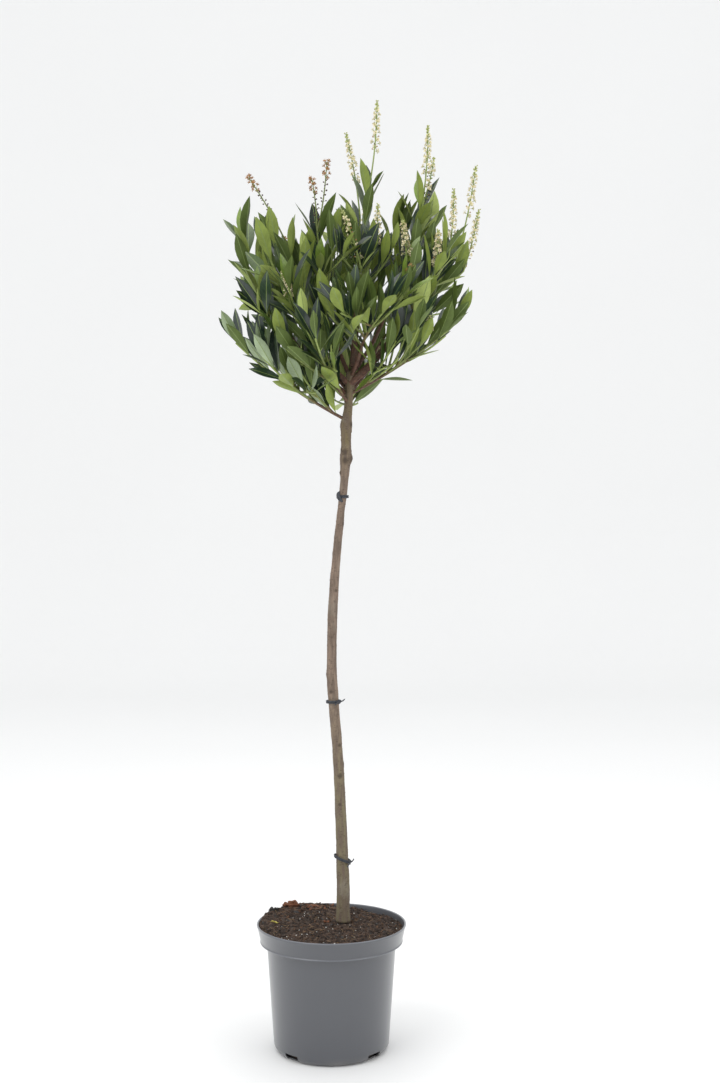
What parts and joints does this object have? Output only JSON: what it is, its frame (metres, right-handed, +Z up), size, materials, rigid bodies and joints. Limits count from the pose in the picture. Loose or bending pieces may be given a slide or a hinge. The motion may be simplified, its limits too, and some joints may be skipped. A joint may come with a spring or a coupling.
{
  "type": "potted standard cherry laurel",
  "caption": "Evergreen laurel grown as a standard: bare upright stem with a leafy, flowering crown, standing in a round plastic nursery pot filled with soil.",
  "frame": {"origin": "middle of the pot's flat underside, where it stands", "axes": "+Z up along the trunk; the plant is seen from -Y, with +X to the right"},
  "size_m": [0.5148, 0.4687, 1.7811],
  "materials": {
    "pot_plastic": "satin",
    "potting_soil": "matte",
    "trunk_bark": "matte",
    "bough_bark": "matte",
    "tie": "matte",
    "foliage": "satin"
  },
  "bodies": {
    "root": {"pot": "pot_plastic", "soil": "potting_soil", "trunk": "trunk_bark", "tie_low": "tie", "tie_middle": "tie", "tie_high": "tie", "bough_right": "bough_bark", "bough_upper_right": "bough_bark", "bough_centre": "bough_bark", "bough_upper_left": "bough_bark", "bough_left": "bough_bark", "bough_far_left": "bough_bark", "bough_front": "bough_bark", "bough_back": "bough_bark", "bough_back_left": "bough_bark", "bough_back_right": "bough_bark", "mass_top": "foliage", "mass_upper_right": "foliage", "mass_right": "foliage", "mass_low_right": "foliage", "mass_upper_left": "foliage", "mass_left": "foliage", "mass_far_left": "foliage", "mass_low_left": "foliage", "mass_front": "foliage", "mass_front_left": "foliage", "mass_back": "foliage", "mass_back_left": "foliage", "mass_back_right": "foliage", "mass_low_back": "foliage"}
  },
  "joints": []
}
